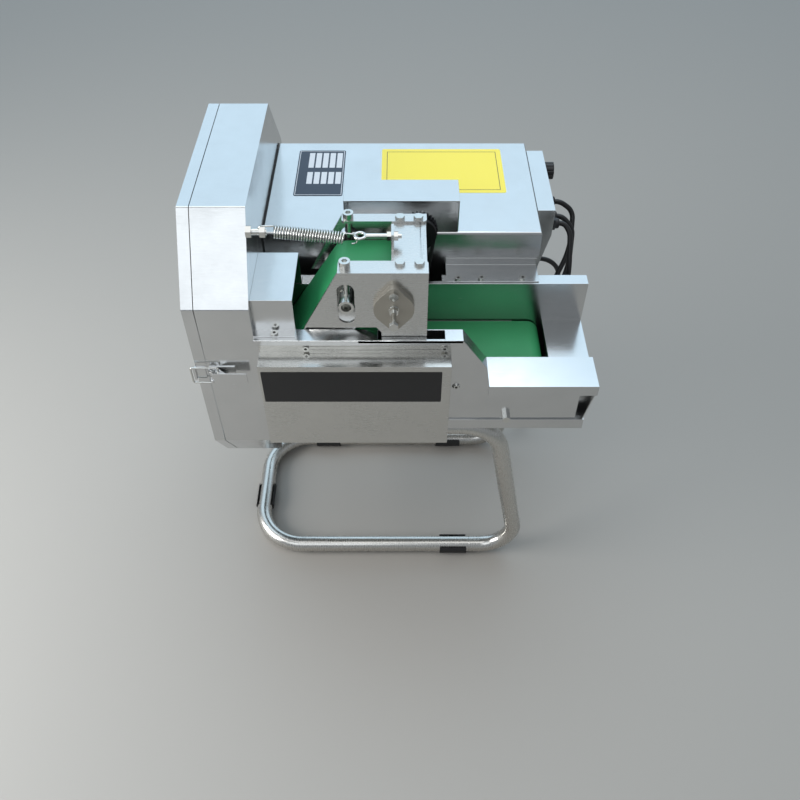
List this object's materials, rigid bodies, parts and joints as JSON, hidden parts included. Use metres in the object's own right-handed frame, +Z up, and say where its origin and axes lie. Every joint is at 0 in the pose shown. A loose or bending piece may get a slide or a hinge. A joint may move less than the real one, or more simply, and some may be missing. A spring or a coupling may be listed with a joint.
{
  "type": "vegetable cutting machine",
  "caption": "Belt-fed rotary vegetable cutter on a bent-tube stand: feed trough, spring-loaded press belt, round knife housing with hinged door, drive box and control box.",
  "frame": {"origin": "on the floor under the middle of the machine's own box", "axes": "+Z up, +X from the knife housing towards the feed end, -Y towards the operator"},
  "size_m": [0.5063, 0.431, 0.625],
  "materials": {
    "stainless_sheet": "2B stainless sheet, half mirror",
    "stainless_tube": "polished stainless tube",
    "green_belting": "green food belting, matt",
    "black_rubber": "black rubber",
    "black_plastic": "black moulded plastic",
    "blackened_steel": "blackened steel gears",
    "bright_steel": "turned bright stainless steel",
    "cast_aluminium": "cast and machined",
    "motor_grey": "grey enamel"
  },
  "bodies": {
    "frame": {"bed_plates": "stainless_sheet", "chassis_tray": "stainless_sheet", "control_box": "stainless_sheet", "control_fittings": "black_plastic", "control_leads": "black_rubber", "cord_coil": "black_rubber", "feed_drive_belt": "black_rubber", "feed_ledge": "stainless_sheet", "fixing_bracket": "stainless_sheet", "floor_loop": "stainless_tube", "foot_pads": "black_rubber", "frame_screws": "bright_steel", "front_drive_cover": "stainless_sheet", "gear_hood": "stainless_sheet", "housing_hinge": "stainless_sheet", "knife_bearings": "cast_aluminium", "knife_belt": "black_rubber", "knife_housing": "stainless_sheet", "latch_base": "stainless_sheet", "lower_belt": "green_belting", "mains_cord": "black_rubber", "motor_box": "stainless_sheet", "motors": "motor_grey", "mouth_cover": "stainless_sheet", "plug": "black_plastic", "rear_wall": "stainless_sheet", "shaft_bearings": "cast_aluminium", "spring": "bright_steel", "stand_saddles": "stainless_sheet", "throat_front_wall": "stainless_sheet", "trough_front_wall": "stainless_sheet", "uprights": "stainless_tube"},
    "door": {"knife_door": "stainless_sheet", "door_fittings": "stainless_sheet"},
    "latch_lever_body": {"latch_lever": "stainless_sheet"},
    "latch_bail_body": {"latch_bail": "bright_steel"},
    "knife": {"knife_shaft": "bright_steel", "knife_disc": "cast_aluminium", "knife_blades": "bright_steel", "knife_fasteners": "bright_steel"},
    "motor_rotor": {"motor_pulley": "cast_aluminium"},
    "cross_shaft_body": {"cross_shaft": "bright_steel"},
    "lower_drive": {"lower_drive_roller": "bright_steel"},
    "tail": {"tail_roller": "bright_steel"},
    "press": {"press_plate_front": "stainless_sheet", "press_plate_rear": "stainless_sheet", "cross_plate": "stainless_sheet", "nose_frame": "stainless_sheet", "press_bearings": "cast_aluminium", "press_fasteners": "bright_steel", "press_axles": "bright_steel", "press_drive_belt": "black_rubber", "upper_belt": "green_belting"},
    "upper_drive": {"upper_drive_roller": "bright_steel", "pinion": "blackened_steel"},
    "idler_wheel": {"idler_gear": "blackened_steel"},
    "top_idler": {"top_idler_roller": "bright_steel"},
    "nose": {"nose_roller": "bright_steel"},
    "switch": {"power_switch": "black_plastic"},
    "knob": {"speed_knob": "black_plastic"}
  },
  "joints": [
    {"name": "door_swing", "type": "hinge", "parent": "frame", "child": "door", "pos_m": [-0.2324, 0.211, 0.4], "axis": [0, 0, -1], "range_deg": [0, 110]},
    {"name": "latch_lever_turn", "type": "hinge", "parent": "frame", "child": "latch_lever_body", "pos_m": [-0.2254, -0.182, 0.43], "axis": [0, 0, -1], "range_deg": [0, 150]},
    {"name": "latch_bail_turn", "type": "hinge", "parent": "latch_lever_body", "child": "latch_bail_body", "pos_m": [-0.2174, -0.182, 0.43], "axis": [0, 0, -1], "range_deg": [-150, 0]},
    {"name": "knife_spin", "type": "hinge", "parent": "frame", "child": "knife", "pos_m": [-0.1729, 0.015, 0.423], "axis": [1, 0, 0], "continuous": true},
    {"name": "motor_spin", "type": "hinge", "parent": "frame", "child": "motor_rotor", "pos_m": [-0.0754, 0.102, 0.395], "axis": [1, 0, 0], "continuous": true},
    {"name": "cross_shaft_spin", "type": "hinge", "parent": "frame", "child": "cross_shaft_body", "pos_m": [0.0136, -0.166, 0.365], "axis": [0, 1, 0], "continuous": true},
    {"name": "lower_drive_spin", "type": "hinge", "parent": "frame", "child": "lower_drive", "pos_m": [-0.1414, -0.12, 0.4065], "axis": [0, 1, 0], "continuous": true},
    {"name": "tail_spin", "type": "hinge", "parent": "frame", "child": "tail", "pos_m": [0.1766, -0.12, 0.411], "axis": [0, 1, 0], "continuous": true},
    {"name": "press_lift", "type": "hinge", "parent": "frame", "child": "press", "pos_m": [0.0136, -0.121, 0.365], "axis": [0, 1, 0], "range_deg": [0, 7], "stiffness_Nm_per_rad": 50, "springref_deg": -3.44, "deforming": ["spring"]},
    {"name": "upper_drive_spin", "type": "hinge", "parent": "press", "child": "upper_drive", "pos_m": [0.0016, -0.12, 0.541], "axis": [0, 1, 0], "continuous": true},
    {"name": "idler_wheel_spin", "type": "hinge", "parent": "press", "child": "idler_wheel", "pos_m": [0.03163, -0.055, 0.55468], "axis": [0, 1, 0], "continuous": true},
    {"name": "top_idler_spin", "type": "hinge", "parent": "press", "child": "top_idler", "pos_m": [-0.0534, -0.12, 0.54], "axis": [0, 1, 0], "continuous": true},
    {"name": "nose_spin", "type": "hinge", "parent": "press", "child": "nose", "pos_m": [-0.1214, -0.12, 0.445], "axis": [0, 1, 0], "continuous": true},
    {"name": "switch_rock", "type": "hinge", "parent": "frame", "child": "switch", "pos_m": [0.2106, 0.109, 0.52], "axis": [0, 1, 0], "range_deg": [-16, 0]},
    {"name": "knob_turn", "type": "hinge", "parent": "frame", "child": "knob", "pos_m": [0.2126, 0.139, 0.52], "axis": [1, 0, 0], "range_deg": [0, 270]}
  ],
  "couplings": [
    {"joint": "latch_bail_turn", "follows": "latch_lever_turn", "ratio": -1},
    {"joint": "motor_spin", "follows": "knife_spin", "ratio": 1.5},
    {"joint": "lower_drive_spin", "follows": "cross_shaft_spin", "ratio": 1.5818},
    {"joint": "tail_spin", "follows": "cross_shaft_spin", "ratio": 2.0267},
    {"joint": "idler_wheel_spin", "follows": "cross_shaft_spin", "ratio": 0.6962},
    {"joint": "upper_drive_spin", "follows": "cross_shaft_spin", "ratio": -1.4919},
    {"joint": "top_idler_spin", "follows": "cross_shaft_spin", "ratio": -1.4919},
    {"joint": "nose_spin", "follows": "cross_shaft_spin", "ratio": -2.2952}
  ]
}
